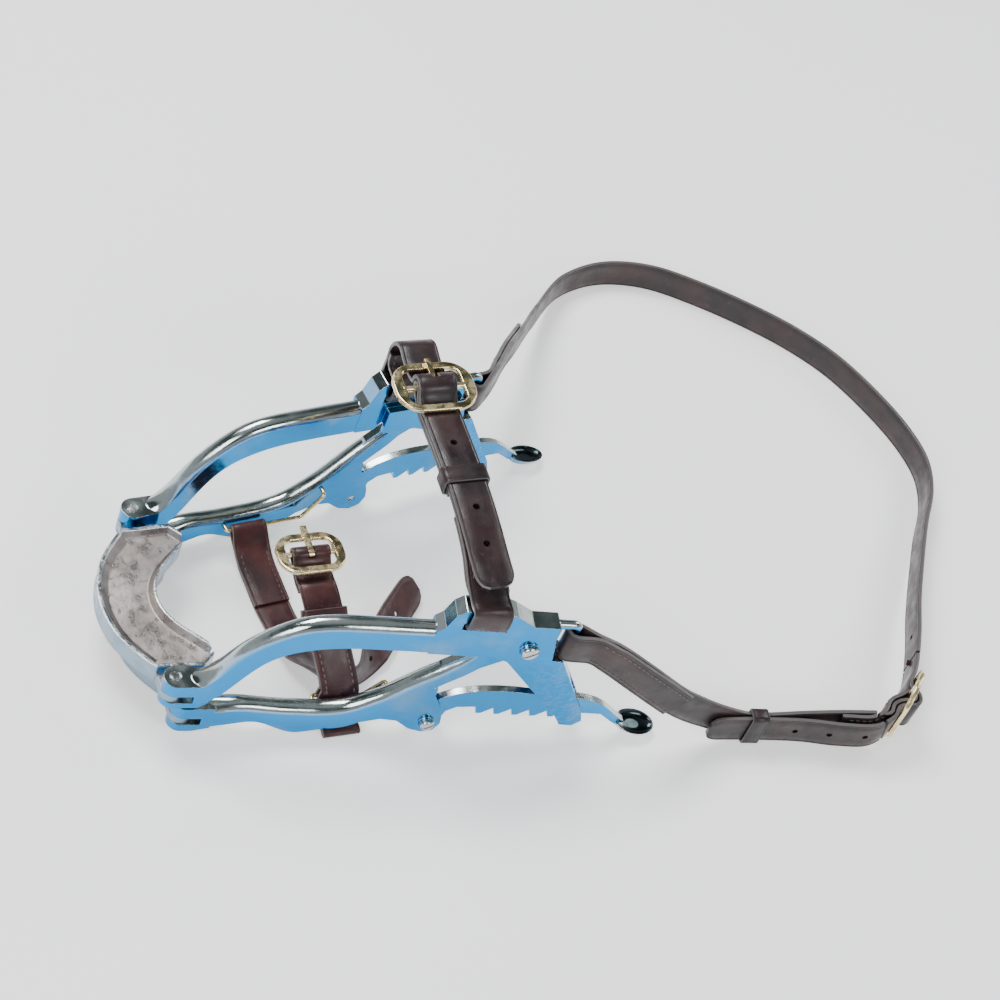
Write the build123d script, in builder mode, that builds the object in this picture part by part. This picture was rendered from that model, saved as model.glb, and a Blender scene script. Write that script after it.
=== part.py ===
from build123d import *
from math import cos, radians, sin
import os

# Hinged ratchet mouth gag for a horse, with its leather head straps, lying closed on a table.
# X runs back from the bite plates, Y across, Z up. The gag is described in its own frame
# (plates level, plate pins at x = 0) and then leans forward-down by PITCH onto the table.
# Each side frame is flat and upright, and the two splay apart towards the back.

# Driving dimensions, in millimetres and degrees
ORIGIN_X = 294.3          # from the plate pins back to the origin
ORIGIN_Y = 67.3           # from the gag's middle plane across to the origin
PIN_HALF = 66.0           # middle plane to each plate pin
SPLAY = 9.4               # each side frame opens outwards by this angle
PITCH = 4.0               # the rear of the gag lies lower by this angle
PIN_TOP = 50.3            # top of the plate pins in the gag's own frame
PIN_TOP_REST = 54.7       # the same height above the table
BAR_WIDTH = 12.6          # thickness of the forged arms across the side frame
CHEEK_OUT = 6.5           # outer face of the rear plate and leg
CHEEK_IN = 11.2           # inner face of the forked leg
SLOT_OUT = 4.0            # outer wall of the fork's slot
SLOT_IN = 8.5             # inner wall of the fork's slot
TAIL_WIDTH = 5.6          # lower arm's tail inside the fork
LEVER_WIDTH = 5.0         # ratchet lever
LEVER_OUT = 3.2           # outer face of the lever
LEVER_IN = LEVER_OUT - LEVER_WIDTH
PIVOT = (209.0, 107.0)    # main pivot along the side frame and up
RATCHET = (166.0, 23.0)   # ratchet lever's pivot
BAIL_REAR = 237.6         # upright bar that carries the poll strap
SCREW_R = 3.0
RATCHET_R = 2.5
RATCHET_HEAD_R = 4.8
HEAD_SEAT = 1.3          # a screw head's seat stands this far out of the arm's middle line
LAND_HEIGHT = 2.6
CLEVIS_R = 8.4
LOWER_PIN = 9.5           # the lower plate's pins stand this far behind the upper ones
LUG_UPPER = 36.5          # middle of the upper plate's lugs
LUG_LOWER = 13.5          # middle of the lower plate's lugs
HEAD_R = 6.0
PIN_R = 3.5
FIT = 0.05                # running fit between a shaft and its hole
STRAP_WIDTH = 25.0
STRAP_THICK = 3.0
CHIN_THICK = 2.2

SIDES = {"left": -1, "right": 1}
os.makedirs("parts", exist_ok=True)


def gag_direction(x, y, z):
    """Turn a direction in the gag's frame into the part's frame."""
    lean = radians(PITCH)
    return Vector(x * cos(lean) + z * sin(lean), y, z * cos(lean) - x * sin(lean))


def gag_point(x, y, z):
    """Turn a point in the gag's frame into the part's frame."""
    return gag_direction(x, y, z - PIN_TOP) + Vector(-ORIGIN_X, -ORIGIN_Y, PIN_TOP_REST)


def side_point(side, along, out, up):
    """A point of a side frame: along the arm, outwards from its middle, and up."""
    turn = radians(SPLAY)
    x = along * cos(turn) - out * sin(turn)
    y = side * (PIN_HALF + along * sin(turn) + out * cos(turn))
    return gag_point(x, y, up)


def side_plane(side, out=0.0):
    """The side frame's upright plane: local X runs back along the arm and local Y up."""
    turn = radians(SPLAY)
    origin = side_point(side, 0, out, 0)
    along = gag_direction(cos(turn), side * sin(turn), 0)
    normal = gag_direction(side * sin(turn), -cos(turn), 0)
    return Plane(origin=origin, x_dir=along, z_dir=normal)


def top_plane(side, up, along_arm=0.0):
    """A level plane of the gag on one side frame's middle, local X along the arm."""
    turn = radians(SPLAY)
    origin = side_point(side, along_arm, 0, up)
    along = gag_direction(cos(turn), side * sin(turn), 0)
    return Plane(origin=origin, x_dir=along, z_dir=gag_direction(0, 0, 1))


def gag_plane(up):
    """A level plane of the gag with its origin midway between the plate pins."""
    return Plane(origin=gag_point(0, 0, up), x_dir=gag_direction(1, 0, 0), z_dir=gag_direction(0, 0, 1))


def stack_plane(side, low, high):
    """A section plane across an arm: local X outwards-inwards, local Y from its lower edge to its crown."""
    middle = ((low[0] + high[0]) / 2, (low[1] + high[1]) / 2)
    rise = side_point(side, high[0], 0, high[1]) - side_point(side, low[0], 0, low[1])
    across = side_point(side, 0, 1, 0) - side_point(side, 0, 0, 0)
    return Plane(origin=side_point(side, middle[0], 0, middle[1]), x_dir=across, z_dir=across.cross(rise))


def cross_plane(side, spot):
    """A plane square to Y at a point of the side frame, for the bores and screws of the common axes."""
    return Plane(origin=side_point(side, spot[0], 0, spot[1]), x_dir=(1, 0, 0), z_dir=(0, side, 0))


# ---------------------------------------------------------------------------
# Shapes that both pairs of arms share
# ---------------------------------------------------------------------------

def arm_length(side, stations):
    """Loft the forged arm, flat-sided with a rounded crown, through (lower edge, crown, width)."""
    sections = []
    for low, high, width in stations:
        half = width / 2
        top = ((high[0] - low[0]) ** 2 + (high[1] - low[1]) ** 2) ** 0.5 / 2
        shoulder = top - min(5.0, 2.0 + 0.45 * abs(20.0 - width)) * min(1.0, half / 5)
        with BuildSketch(stack_plane(side, low, high)) as section:
            with BuildLine():
                Polyline((-half, shoulder), (-half, 1 - top), (1 - half, -top), (half - 1, -top),
                         (half, 1 - top), (half, shoulder))
                ThreePointArc((half, shoulder), (0, top), (-half, shoulder))
            make_face()
        sections.append(section.sketch)
    loft(sections)


def clevis(side, profile, floor, roof, pin):
    """Teardrop clevis about the plate pin, cut to a side profile."""
    length = 38
    with BuildSketch(top_plane(side, floor, pin)) as teardrop:
        with BuildLine():
            Polyline((1, CLEVIS_R), (length, BAR_WIDTH / 2), (length, -BAR_WIDTH / 2), (1, -CLEVIS_R))
            ThreePointArc((1, -CLEVIS_R), (1 - CLEVIS_R, 0), (1, CLEVIS_R))
        make_face()
    extrude(teardrop.sketch, amount=roof - floor)
    with BuildSketch(side_plane(side)) as outline:
        with BuildLine():
            Polyline(*profile, close=True)
        make_face()
    extrude(outline.sketch, amount=2 * CLEVIS_R, both=True, mode=Mode.INTERSECT)


def cut_side(side, outline, out_from, out_to):
    """Cut an outline of the side frame between two lateral positions."""
    with BuildSketch(side_plane(side, out_from)) as sketch:
        with BuildLine():
            Polyline(*outline, close=True)
        make_face()
    extrude(sketch.sketch, amount=-side * (out_to - out_from), mode=Mode.SUBTRACT)


def add_side(side, outline, out_from, out_to, corner=0.0):
    """Add an outline of the side frame between two lateral positions, its corners rounded."""
    with BuildSketch(side_plane(side, out_from)) as sketch:
        with BuildLine():
            Polyline(*outline, close=True)
        make_face()
        if corner > 0:
            fillet(sketch.vertices(), corner)
    extrude(sketch.sketch, amount=-side * (out_to - out_from))


def bore(side, spot, radius):
    """Bore right through a side frame, parallel to Y."""
    with BuildSketch(cross_plane(side, spot)) as circle:
        Circle(radius)
    extrude(circle.sketch, amount=30, both=True, mode=Mode.SUBTRACT)


# ---------------------------------------------------------------------------
# Upper arms: clevis, arched bar, strap hump, rail with its upright bar, forked leg
# ---------------------------------------------------------------------------

UPPER_ARM = [((9, 30), (5, 50.3), 15.6), ((17, 31), (12, 51.6), 15.4), ((25, 37), (18, 58), 14.6),
             ((37, 55), (26, 71.5), 13.2), ((47, 72), (35, 87), 12.6), ((58, 84), (48.5, 102), 12.6),
             ((74, 92), (68, 115), 12.6), ((96, 96.5), (95, 119.5), 12.6), ((112, 97.2), (112, 119.8), 12.6),
             ((128, 97.4), (128, 120), 12.6), ((142, 97.4), (142, 120.2), 12.6),
             ((154, 97.3), (154, 120.8), 12.6)]
UPPER_CLEVIS = [(-14, 28.2), (17, 28.2), (23, 34), (19, 50.3), (-14, 50.3)]
HUMP = [(146, 97.2), (146, 120), (150.5, 125), (154, 137), (159, 141.8), (185, 142.6), (193, 139),
        (206, 130.6), (224, 130.6), (224, 97.2)]
LEG = [(165, 97.2), (165, 118), (224, 118), (226, 110), (228.5, 97), (236.5, 96.3), (267.5, 43), (271, 33),
       (266, 27), (257, 27.5), (250.5, 37.5), (228.4, 61.5), (199.5, 93.5), (190, 97.2)]
FORK = [(120, 60), (160, 96), (170, 112), (190, 118.6), (214, 118.9), (221, 112), (223.5, 95), (236, 70),
        (285, 70), (285, 31), (235, 31), (228, 50)]


def upper_arm(side):
    with BuildPart() as arm:
        clevis(side, UPPER_CLEVIS, 28, 75, 0)
        arm_length(side, UPPER_ARM)
        add_side(side, HUMP, -CHEEK_OUT, CHEEK_OUT, 1.2)
        add_side(side, LEG, -CHEEK_IN, CHEEK_OUT, 1.2)
        # rail that runs back over the poll strap's slot, and the upright bar behind the slot
        rail = [side_point(side, 214, 0, 127.4), side_point(side, BAIL_REAR, 0, 127.4),
                side_point(side, BAIL_REAR, 0, 90)]
        with BuildLine() as path:
            FilletPolyline(*rail, radius=4.2)
        with BuildSketch(Plane(origin=rail[0], z_dir=rail[1] - rail[0])):
            Circle(3.2)
        sweep(path=path.wires()[0])
        # slot for the plate's lug, between the clevis cheeks
        cut_side(side, [(-20, LUG_UPPER - 3.4), (13, LUG_UPPER - 3.4), (13, LUG_UPPER + 3.4),
                        (-20, LUG_UPPER + 3.4)], -20, 20)
        # strap slot under the hump's bar
        cut_side(side, [(160.5, 123.5), (189.5, 123.5), (189.5, 130), (160.5, 130)], -20, 20)
        # the fork that takes the lower arm's tail and the ratchet lever
        cut_side(side, FORK, -SLOT_IN, SLOT_OUT)
        # seat for the pivot screw's head, square to the common axis
        with BuildSketch(cross_plane(side, PIVOT).offset(CHEEK_OUT - 1.9)) as seat:
            Circle(HEAD_R + 0.5)
        extrude(seat.sketch, amount=1.9 + HEAD_SEAT)
        bore(side, PIVOT, SCREW_R + FIT)
        with BuildSketch(top_plane(side, 20)) as hole:
            Circle(PIN_R + FIT)
        extrude(hole.sketch, amount=60, mode=Mode.SUBTRACT)
    return arm


# ---------------------------------------------------------------------------
# Lower arms: clevis, waisted bar, ratchet ear and flat tail
# ---------------------------------------------------------------------------

LOWER_ARM = [((16, 4.2), (15, 26.6), 15.6), ((26, 6.2), (25, 27.4), 14.8), ((37, 9.0), (37, 29.6), 13.6),
             ((47, 11.8), (47, 30.2), 12.8), ((56, 13.2), (56, 29.5), 12.6), ((68, 9), (68, 28.8), 12.6),
             ((83, 3.6), (83, 28.8), 12.6), ((98, 7.6), (97, 29.5), 12.6), ((114, 12), (110, 32.5), 12.6),
             ((127, 21.5), (118, 37), 12.6), ((142, 36), (132, 48), 12.6), ((155, 51), (146, 63), 12.6),
             ((169, 66.5), (161, 78), 12.4), ((179, 74.5), (171, 87), 10.4), ((188, 82), (180, 94.5), 6.6),
             ((198, 90), (191, 103), 5.6)]
LOWER_CLEVIS = [(-6, 6), (0, 3.4), (18, 3.4), (29, 6.9), (29, 27), (-6, 27)]
EAR = [(112, 16), (124, 19.5), (136, 24), (147, 22.8), (157, 14.6), (166, 11.8), (173.5, 14.6), (176.6, 22),
       (175.5, 29), (172, 39), (165, 52), (164.5, 61), (150, 56), (126, 32)]
TAIL = [(146, 46), (164.5, 61), (181, 76), (203, 92.5), (196, 113), (178, 95), (162, 80)]
EAR_SLOT = [(154, 12), (154, 34), (160, 60), (190, 60), (190, 5), (154, 5)]


def lower_arm(side):
    with BuildPart() as arm:
        clevis(side, LOWER_CLEVIS, 3, 27, LOWER_PIN)
        arm_length(side, LOWER_ARM)
        add_side(side, EAR, -BAR_WIDTH / 2, BAR_WIDTH / 2, 1.2)
        add_side(side, TAIL, -TAIL_WIDTH / 2, TAIL_WIDTH / 2)
        with BuildSketch(side_plane(side, -TAIL_WIDTH / 2)) as disc:
            with Locations(PIVOT):
                Circle(10.5)
        extrude(disc.sketch, amount=-side * TAIL_WIDTH)
        # boss that keeps the tail off the fork's inner cheek
        with BuildSketch(cross_plane(side, PIVOT).offset(1.4 - SLOT_IN)) as boss:
            Circle(6.5)
        extrude(boss.sketch, amount=6)
        cut_side(side, [(-10, LUG_LOWER - 3.4), (22, LUG_LOWER - 3.4), (22, LUG_LOWER + 3.4),
                        (-10, LUG_LOWER + 3.4)], -20, 20)
        # the ear is a fork about the ratchet lever's hub
        cut_side(side, EAR_SLOT, LEVER_IN - 1.5, LEVER_OUT + 0.5)
        bore(side, PIVOT, SCREW_R + FIT)
        # seat for the ratchet screw's head
        with BuildSketch(cross_plane(side, RATCHET).offset(CHEEK_OUT - 2)) as seat:
            Circle(RATCHET_HEAD_R + 0.5)
        extrude(seat.sketch, amount=2 + HEAD_SEAT)
        bore(side, RATCHET, RATCHET_R + FIT)
        with BuildSketch(top_plane(side, -10, LOWER_PIN)) as hole:
            Circle(PIN_R + FIT)
        extrude(hole.sketch, amount=50, mode=Mode.SUBTRACT)
        # flat land that the closed gag stands on
        with BuildSketch(Plane.XY.offset(-10)) as under:
            with Locations(tuple(side_point(side, 84, 0, 0))[:2]):
                Rectangle(60, 40)
        extrude(under.sketch, amount=10 + LAND_HEIGHT, mode=Mode.SUBTRACT)
    return arm


# ---------------------------------------------------------------------------
# Ratchet levers: hub, five saw teeth and a dished thumb rest
# ---------------------------------------------------------------------------

TOOTH_PITCH = 12.4
TOOTH_FIRST = 198.5       # tip of the tooth nearest the hub
TOOTH_TIP = 31.2
TOOTH_ROOT = 38.0
LEVER_TOP = [(303, 30), (294, 37), (288, 42.5), (281, 47.6), (272, 51.6), (262, 53.5), (245, 54.4),
             (230, 55.6), (216, 56.6), (199, 56.0), (184, 52.6), (171, 45.6), (162, 36), (157, 26)]
LEVER_REAR = [(262, 37.4), (284, 37.0), (294, 29), (300, 25), (303, 30)]
LEVER_HUB = [(157, 26), (175, 18), (178, 32), (184, 37), (196.5, 38.4)]
SPOON = (312.0, 27.0)     # middle of the thumb rest's dished face
SPOON_LENGTH = 30.0
SPOON_WIDTH = 19.0


def saw_teeth():
    """Lower edge of the lever, from the hub side to the last tooth."""
    points = []
    for number in range(5):
        tip = TOOTH_FIRST + number * TOOTH_PITCH
        points += [(tip, TOOTH_TIP), (tip + 3.2, TOOTH_TIP + 0.3), (tip + 10.2, TOOTH_ROOT)]
    return points


def ratchet_lever(side):
    with BuildPart() as lever:
        with BuildSketch(side_plane(side, LEVER_IN)) as blade:
            with BuildLine():
                Spline(*LEVER_TOP)
                Polyline(*LEVER_HUB, *saw_teeth(), *LEVER_REAR)
            make_face()
        extrude(blade.sketch, amount=-side * LEVER_WIDTH)
        with BuildSketch(side_plane(side, LEVER_IN)) as hub:
            with Locations(RATCHET):
                Circle(9.4)
        extrude(hub.sketch, amount=-side * LEVER_WIDTH)
        # thumb rest: an oval pad leaning down to the rear, dished on top
        pad = thumb_plane(side)
        with BuildSketch(pad.offset(-4.8)) as base:
            Ellipse(SPOON_LENGTH / 2 - 3, SPOON_WIDTH / 2 - 3)
        with BuildSketch(pad) as rim:
            Ellipse(SPOON_LENGTH / 2, SPOON_WIDTH / 2)
        loft([base.sketch, rim.sketch], ruled=True)
        bowl = []
        for depth, share in ((3.0, 0.35), (2.5, 0.6), (1.5, 0.8), (-0.3, 0.95)):
            with BuildSketch(pad.offset(-depth)) as level:
                Ellipse(share * SPOON_LENGTH / 2, share * SPOON_WIDTH / 2)
            bowl.append(level.sketch)
        loft(bowl, mode=Mode.SUBTRACT)
        bore(side, RATCHET, RATCHET_R + FIT)
    return lever


def thumb_plane(side):
    """Plane of the thumb rest, its normal leaning back and a little outwards."""
    origin = side_point(side, SPOON[0], (LEVER_IN + LEVER_OUT) / 2, SPOON[1])
    along = side_point(side, 1, 0, -0.12) - side_point(side, 0, 0, 0)
    normal = along.cross(side_point(side, 0, 1, -0.15) - side_point(side, 0, 0, 0)) * side
    return Plane(origin=origin, x_dir=along, z_dir=normal)


# ---------------------------------------------------------------------------
# Bite plates and their pins
# ---------------------------------------------------------------------------

def horseshoe(front, inner, width):
    """Half outlines of a bite plate: outer curve, end and inner curve, for y >= 0, front to back."""
    outer = [(front, 0), (front + 1.6, 14), (front + 6, 28), (front + 14, 41), (front + 22, width - 15)]
    inside = [(inner, 0), (inner + 1.6, 10), (inner + 6.5, 19.5), (inner + 15.5, 29.5), (inner + 24.5, 38.5)]
    return outer, inside


def inset(points, amount):
    """Move the points of an open outline sideways by the wall thickness."""
    moved = []
    for index, point in enumerate(points):
        before = Vector(*points[max(index - 1, 0)])
        after = Vector(*points[min(index + 1, len(points) - 1)])
        run = (after - before).normalized()
        moved.append((point[0] + run.Y * amount, point[1] - run.X * amount))
    return moved


def plate_face(outer, inside, tail):
    """Face of a bite plate, symmetric about y = 0."""
    left = [(x, -y) for x, y in reversed(outer[1:])]
    right_inner = [(x, -y) for x, y in inside[1:]]
    with BuildSketch() as sketch:
        with BuildLine():
            Spline(left + outer)
            Polyline(outer[-1], *tail, inside[-1])
            Spline(list(reversed(inside)) + right_inner)
            Polyline(right_inner[-1], *[(x, -y) for x, y in reversed(tail)], left[0])
        make_face()
    return sketch.sketch


UPPER_TAIL = [(-8, 54.5), (3, 54.6), (13, 55.5), (22, 56), (30, 48)]
LOWER_TAIL = [(6, 55.5), (13, 56.5), (18, 56), (22, 49)]


def bank(outline, amount, tail_shift):
    """Trough outline: both curves drawn in from the plate's edge, with a plain end wall."""
    outer, inside, tail = outline
    outer = inset(outer, amount)
    inside = inset(inside, -0.55 * amount)
    tail = [(x, y - tail_shift) for x, y in tail]
    return plate_face([(outer[0][0], 0)] + outer[1:], [(inside[0][0], 0)] + inside[1:], tail)


def bite_plate(front, inner, tail, floor, roof, lug, pin, upward):
    """Horseshoe with a banked trough, and a flat lug at each end that a clevis holds."""
    outer, inside = horseshoe(front, inner, 66)
    outline = (outer, inside, tail)
    rim = roof if upward else floor
    depth = -5.0 if upward else 5.0
    with BuildPart() as plate:
        body = gag_plane(floor).location * plate_face(*outline)
        extrude(body, amount=roof - floor, dir=gag_direction(0, 0, 1))
        mouth = gag_plane(rim).location * bank(outline, 2.4, 2.4)
        bed = gag_plane(rim + depth).location * bank(outline, 8.0, 4.5)
        loft([bed, mouth], ruled=True, mode=Mode.SUBTRACT)
        pin_x = pin * cos(radians(SPLAY))
        pin_y = PIN_HALF + pin * sin(radians(SPLAY))
        for side in SIDES.values():
            with BuildSketch(gag_plane(lug - 3.2)) as ear:
                with BuildLine():
                    Polyline((pin_x - 7.6, side * pin_y), (pin_x - 8, side * 52), (pin_x + 10, side * 52),
                             (pin_x + 7.6, side * pin_y))
                    ThreePointArc((pin_x + 7.6, side * pin_y), (pin_x, side * (pin_y + 7.6)),
                                  (pin_x - 7.6, side * pin_y))
                make_face()
            extrude(ear.sketch, amount=6.4)
            with BuildSketch(top_plane(side, lug - 20, pin)) as hole:
                Circle(PIN_R + FIT)
            extrude(hole.sketch, amount=40, mode=Mode.SUBTRACT)
    return plate


def plate_pin(side, low, high, pin):
    """Plain riveted pin, its head turned down to a shallow ring."""
    with BuildPart() as rivet:
        with BuildSketch(top_plane(side, low, pin)) as shank:
            Circle(PIN_R)
        extrude(shank.sketch, amount=high - low)
        with BuildSketch(top_plane(side, high - 0.5, pin)) as groove:
            Circle(PIN_R - 0.5)
            Circle(PIN_R - 1.1, mode=Mode.SUBTRACT)
        extrude(groove.sketch, amount=1, mode=Mode.SUBTRACT)
    return rivet


# ---------------------------------------------------------------------------
# Screws with domed slotted heads, parallel to Y
# ---------------------------------------------------------------------------

def domed_screw(side, spot, shank_r, head_r, reach, seat):
    with BuildPart() as screw:
        with BuildSketch(cross_plane(side, spot).offset(CHEEK_OUT - reach)) as shank:
            Circle(shank_r)
        extrude(shank.sketch, amount=reach + seat)
        with BuildSketch(cross_plane(side, spot).offset(CHEEK_OUT + seat)) as head:
            Circle(head_r)
        extrude(head.sketch, amount=3.0)
        rim = screw.faces().sort_by(Axis.Y)[0 if side < 0 else -1].edges()
        fillet(rim, 2.4)
        slot = cross_plane(side, spot).offset(CHEEK_OUT + seat + 1.7)
        with BuildSketch(slot) as cut:
            Rectangle(2 * head_r + 2, 1.3, rotation=20)
        extrude(cut.sketch, amount=3, mode=Mode.SUBTRACT)
    return screw


# ---------------------------------------------------------------------------
# Brass wire loops for the chin strap
# ---------------------------------------------------------------------------

WIRE_R = 1.4
WIRE_OUT = -11.8          # wire's middle, on the inner side of the lower arm
WIRE_FRONT = {-1: 93.0, 1: 68.5}     # front anchor of the left and right loop along the arm
WIRE = [(124, WIRE_OUT, 21), (137, WIRE_OUT, 41), (137, -4.8, 41.5)]


def chin_wire(side):
    front = WIRE_FRONT[side]
    stations = [(front, -4.8, 21), (front, WIRE_OUT, 21)] + WIRE
    points = [side_point(side, *station) for station in stations]
    with BuildPart() as wire:
        with BuildLine() as path:
            FilletPolyline(*points, radius=2.4)
        with BuildSketch(Plane(origin=points[0], z_dir=points[1] - points[0])):
            Circle(WIRE_R)
        sweep(path=path.wires()[0])
    return wire


# ---------------------------------------------------------------------------
# Straps: each is a list of stations, a point of the strap's middle line and its width direction
# ---------------------------------------------------------------------------

UP = Vector(0, 0, 1)
ACROSS = Vector(1, 0, 0)


def table_point(x, y, z):
    """Turn a point above the table, measured from under the plate pins, into the part's frame."""
    return Vector(x - ORIGIN_X, y - ORIGIN_Y, z)


def tangent(path, index):
    before = path[max(index - 1, 0)][0]
    after = path[min(index + 1, len(path) - 1)][0]
    return (after - before).normalized()


def shifted(path, amount):
    """The same stations moved along the strap's face normal."""
    moved = []
    for index, (point, width) in enumerate(path):
        normal = width.cross(tangent(path, index)).normalized()
        moved.append((point + normal * amount, width))
    return moved


def fold(path, radius, lap, gap):
    """Fold a strap round a bar at the path's first station and lap it back along itself.

    The main layer lies on the face normal's side when gap is positive.
    """
    point, width = path[0]
    along = tangent(path, 0)
    normal = width.cross(along).normalized() * (1 if gap > 0 else -1)
    bend = []
    for angle in (0, 45, 90, 135, 180):
        turn = radians(angle)
        bend.append((point + normal * radius * cos(turn) - along * radius * sin(turn), width))
    main = shifted(path, gap / 2)
    under = shifted(path, -gap / 2)
    return under[lap:0:-1] + bend[::-1] + main[1:]


def strap(stations, thickness):
    """Loft a flat strap through its stations."""
    sections = []
    for index, (point, width) in enumerate(stations):
        run = tangent(stations, index)
        across = (width - run * width.dot(run)).normalized()
        with BuildSketch(Plane(origin=point, x_dir=across, z_dir=run)) as section:
            Rectangle(STRAP_WIDTH, thickness)
        sections.append(section.sketch)
    loft(sections, ruled=True)


# ---------------------------------------------------------------------------
# Centre-bar buckles: local X along the bar, local Y towards the billet, local Z outwards
# ---------------------------------------------------------------------------

BUCKLE_THICK = 3.5
BAR_R = 2.0
NOSE_BUCKLE = Plane(origin=table_point(177, 50, 171), x_dir=(1, 0, 0), z_dir=(0, 0, 1))
POLL_BUCKLE = Plane(origin=table_point(498, -145, 27.6), x_dir=(0, 0, -1), z_dir=(0.72, -0.69, 0))
CHIN_BUCKLE = Plane(origin=table_point(99, 0, 76), x_dir=(1, 0, 0), z_dir=(0, 0.1, 0.995))
BUCKLE_SIZES = {"nose": (54, 40, 38), "poll": (54, 40, 38), "chin": (45, 34, 31)}
BILLET_PATH = [(24, -3.6), (13.5, -3.6), (7.6, -1.2), (7.4, 1.6), (5.3, 5.4), (0, 7.6), (-5.3, 5.4),
               (-7.4, 1.6), (-13.5, -3.6), (-22, -3.8)]
FIXED_PATH = [(-22, -7.6), (-14, -7.6), (-8, -4.6), (-4.0, 0), (-2.8, 2.8), (0, 4.0), (2.8, 2.8), (4.0, 0),
              (2.8, -2.8), (0, -4.4), (-4, -6.6), (-9, -9.8), (-14, -11.2), (-22, -11.2)]


def at_buckle(plane, path, drop=0.0):
    """Stations of a strap at a buckle; drop shifts it along the bar."""
    stations = []
    for along, out in path:
        stations.append((plane.from_local_coords(Vector(drop, along, out)), plane.x_dir))
    return stations


def buckle_frame(plane, width, height, opening):
    with BuildPart() as frame:
        with BuildSketch(plane.offset(-BUCKLE_THICK / 2)):
            RectangleRounded(width, height, 0.42 * height)
            RectangleRounded(opening, height - 11, 6, mode=Mode.SUBTRACT)
        extrude(amount=BUCKLE_THICK)
        rims = frame.faces().filter_by(Axis(plane.origin, plane.z_dir)).edges()
        fillet(rims, 1.1)
        start = plane.from_local_coords(Vector(-opening / 2 - 2, 0, 0))
        with BuildSketch(Plane(origin=start, z_dir=plane.x_dir)):
            Circle(BAR_R)
        extrude(amount=opening + 4)
    return frame


def buckle_prong(plane):
    section = Plane(origin=plane.from_local_coords(Vector(-1.8, 0, 0)), x_dir=plane.y_dir, z_dir=plane.x_dir)
    with BuildPart() as prong:
        with BuildSketch(section):
            Circle(4.0)
            with BuildLine():
                Polyline((0, 4.0), (20.5, 4.5), (21.2, 3.4), (20, 2.2), (3, 1.3), (0, 3), close=True)
            make_face()
            Circle(BAR_R + FIT, mode=Mode.SUBTRACT)
        extrude(amount=3.6)
    return prong


def keeper(point, width, along, height):
    """Rectangular leather loop round the lapped straps."""
    plane = Plane(origin=point, x_dir=width, z_dir=along)
    with BuildPart() as ring:
        with BuildSketch(plane.offset(-6)):
            Rectangle(STRAP_WIDTH + 5.2, height + 3.6)
            Rectangle(STRAP_WIDTH + 1.6, height, mode=Mode.SUBTRACT)
        extrude(amount=12)
    return ring


def slit(plane, low, high):
    """Cut a narrow slot for the buckle's prong between two corners given as (along, out)."""
    middle = Vector(0, (low[0] + high[0]) / 2, (low[1] + high[1]) / 2)
    box = Plane(origin=plane.from_local_coords(middle), x_dir=plane.x_dir, z_dir=plane.z_dir)
    with BuildSketch(box.offset((low[1] - high[1]) / 2)) as mouth:
        Rectangle(5.0, high[0] - low[0])
    extrude(mouth.sketch, amount=high[1] - low[1], mode=Mode.SUBTRACT)


# ---------------------------------------------------------------------------
# The three straps
# ---------------------------------------------------------------------------

def poll_path(points):
    return [(table_point(*point), UP) for point in points]


def bail_station(side):
    """Middle of the upright bar, level with the poll strap."""
    return (side_point(side, BAIL_REAR, 0, 110.3), gag_direction(0, 0, 1))


POLL_FAR = [(252, 114, 95), (266, 132, 86), (284, 157, 74), (310, 190, 55), (345, 235, 31), (388, 281, 14),
            (418, 293, 12.8), (443, 294, 12.8), (474, 286, 12.8), (511, 263, 12.8), (547, 234, 12.8),
            (572, 209, 12.8), (594, 179, 12.8), (612, 138, 12.8), (623, 97, 12.8), (624, 65, 12.8),
            (614, 36, 13), (592, 3, 14), (568, -35, 17), (549, -66, 20.5), (532, -97, 23.5)]
POLL_TIP = [(466, -162, 22.5), (446, -157, 19.5), (420, -147.6, 17), (393, -141.4, 16), (379, -138.9, 16),
            (352, -135.8, 17.5)]
POLL_NEAR = [(254, -111, 95), (265, -115.5, 90), (290, -123.5, 72), (320, -130.5, 48), (350, -133, 28),
             (379, -136.8, 16.4), (393, -139.2, 16), (420, -143.4, 18), (446, -148.5, 20.5),
              (465, -153.8, 23.5)]
POLL_DROP = 2.0           # the straps lie this far below the middle of the buckle

NOSE_FOLD = [(-9.0, 142.2), (-8.8, 130.0), (-5.5, 126.3), (5.5, 126.3), (8.8, 130.0), (8.8, 142.2)]
NOSE_NEAR = [(-82, 144.0), (-70, 152), (-58, 157), (-44, 160.5), (-28, 162.6), (-10, 163.6), (8, 163.7)]
NOSE_FAR = [(99.6, 146), (99, 156), (94.5, 165), (87, 169.5), (80, 168.6)]
NOSE_TIP = [(10, 167.2), (-10, 167.1), (-28, 166.3), (-45, 164.5), (-62, 161.5), (-80, 157.5), (-97, 155)]
NOSE_X = 177.0


def nose_path(points):
    return [(table_point(NOSE_X, *point), ACROSS) for point in points]


def nose_fold(side):
    """Stations round the hump's bar, from the inner side under it to the outer side."""
    along = side_point(side, 1, 0, 0) - side_point(side, 0, 0, 0)
    return [(side_point(side, 175, out, up), along) for out, up in NOSE_FOLD]


def poll_billet():
    with BuildPart() as billet:
        path = [bail_station(1)] + poll_path(POLL_FAR)
        stations = fold(path, 3.2 + 0.6 + STRAP_THICK / 2, 4, -3.4)
        stations += at_buckle(POLL_BUCKLE, BILLET_PATH, POLL_DROP) + poll_path(POLL_TIP)
        strap(stations, STRAP_THICK)
        slit(POLL_BUCKLE, (1.4, -1.5), (12.6, 9.4))
    return billet


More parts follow.
